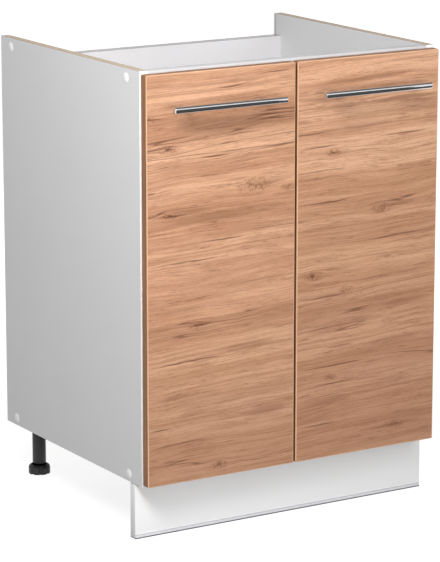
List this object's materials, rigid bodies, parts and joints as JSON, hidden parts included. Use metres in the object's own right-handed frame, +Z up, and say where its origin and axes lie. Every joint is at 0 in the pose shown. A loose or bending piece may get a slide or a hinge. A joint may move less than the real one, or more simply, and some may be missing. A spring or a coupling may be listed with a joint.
{
  "type": "sink base cabinet",
  "caption": "Kitchen sink base cabinet: open-topped white carcass on levelling legs with a clip-on plinth and hinged wood-look doors with bar handles.",
  "frame": {"origin": "on the floor, under the middle of the whole cabinet's box, handles included", "axes": "+X to the right as seen from the front, +Y towards the wall, +Z up; the doors face -Y"},
  "size_m": [0.6032, 0.554, 0.82],
  "materials": {
    "white_board": "satin white melamine on chipboard",
    "white_board_plinth": "satin white melamine on chipboard",
    "white_edging": "satin",
    "grey_edging": "satin",
    "hardboard": "white painted face, brown rear",
    "zinc_steel": "zinc plated",
    "white_plastic": "semi-gloss",
    "beech": "raw",
    "zinc_cast": "as cast",
    "black_plastic": "fine matt",
    "pale_plastic": "satin",
    "nickel_steel": "nickel plated",
    "oak_decor": "golden oak print, grain across",
    "oak_edging": "matching strip",
    "soft_plastic": "clear soft",
    "handle_chrome": "polished"
  },
  "bodies": {
    "carcass": {"back_nails": "zinc_steel", "back_panel": "hardboard", "bottom_edging": "white_edging", "bottom_panel": "white_board", "confirmat_screws": "zinc_steel", "cover_caps": "white_plastic", "front_left_leg": "black_plastic", "front_rail": "white_board", "front_right_leg": "black_plastic", "hinge_arm_screws": "zinc_steel", "hinge_arms": "nickel_steel", "hinge_pins": "nickel_steel", "hinge_plate_screws": "zinc_steel", "hinge_plates": "nickel_steel", "left_side_edging": "white_edging", "left_side_panel": "white_board", "leg_flanges": "black_plastic", "leg_screws": "zinc_steel", "rail_cam_bolts": "zinc_steel", "rail_cams": "zinc_cast", "rail_dowels": "beech", "rail_edging": "grey_edging", "rear_left_leg": "black_plastic", "rear_rail": "white_board", "rear_right_leg": "black_plastic", "right_side_edging": "white_edging", "right_side_panel": "white_board"},
    "left_door": {"left_door_panel": "oak_decor", "left_door_edging": "oak_edging", "left_door_bumpers": "soft_plastic", "left_handle_bar": "handle_chrome", "left_handle_posts": "handle_chrome", "left_handle_screws": "zinc_steel", "left_hinge_cups": "nickel_steel", "left_cup_screws": "zinc_steel"},
    "right_door": {"right_door_panel": "oak_decor", "right_door_edging": "oak_edging", "right_door_bumpers": "soft_plastic", "right_handle_bar": "handle_chrome", "right_handle_posts": "handle_chrome", "right_handle_screws": "zinc_steel", "right_hinge_cups": "nickel_steel", "right_cup_screws": "zinc_steel"},
    "left_hinge_link": {"left_hinge_links": "nickel_steel"},
    "right_hinge_link": {"right_hinge_links": "nickel_steel"},
    "plinth": {"plinth_panel": "white_board_plinth", "plinth_seal": "pale_plastic", "plinth_clips": "black_plastic", "plinth_clip_screws": "zinc_steel"},
    "front_left_adjuster": {"front_left_foot": "black_plastic"},
    "front_right_adjuster": {"front_right_foot": "black_plastic"},
    "rear_left_adjuster": {"rear_left_foot": "black_plastic"},
    "rear_right_adjuster": {"rear_right_foot": "black_plastic"}
  },
  "joints": [
    {"name": "left_door_hinge", "type": "hinge", "parent": "carcass", "child": "left_door", "pos_m": [-0.294, -0.237, 0.45], "axis": [0, 0, -1], "range_deg": [0, 105]},
    {"name": "left_link_pivot", "type": "hinge", "parent": "carcass", "child": "left_hinge_link", "pos_m": [-0.265, -0.229, 0.45], "axis": [0, 0, 1], "range_deg": [0, 33.6]},
    {"name": "right_door_hinge", "type": "hinge", "parent": "carcass", "child": "right_door", "pos_m": [0.294, -0.237, 0.45], "axis": [0, 0, 1], "range_deg": [0, 105]},
    {"name": "right_link_pivot", "type": "hinge", "parent": "carcass", "child": "right_hinge_link", "pos_m": [0.265, -0.229, 0.45], "axis": [0, 0, -1], "range_deg": [0, 33.6]},
    {"name": "front_left_foot_screw", "type": "slide", "parent": "carcass", "child": "front_left_adjuster", "axis": [0, 0, -1], "range_m": [0, 0.015]},
    {"name": "front_right_foot_screw", "type": "slide", "parent": "carcass", "child": "front_right_adjuster", "axis": [0, 0, -1], "range_m": [0, 0.015]},
    {"name": "rear_left_foot_screw", "type": "slide", "parent": "carcass", "child": "rear_left_adjuster", "axis": [0, 0, -1], "range_m": [0, 0.015]},
    {"name": "rear_right_foot_screw", "type": "slide", "parent": "carcass", "child": "rear_right_adjuster", "axis": [0, 0, -1], "range_m": [0, 0.015]},
    {"name": "plinth_pull", "type": "slide", "parent": "carcass", "child": "plinth", "axis": [0, -1, 0], "range_m": [0, 0.06]}
  ],
  "couplings": [
    {"joint": "left_link_pivot", "follows": "left_door_hinge", "ratio": 0.32},
    {"joint": "right_link_pivot", "follows": "right_door_hinge", "ratio": 0.32}
  ]
}
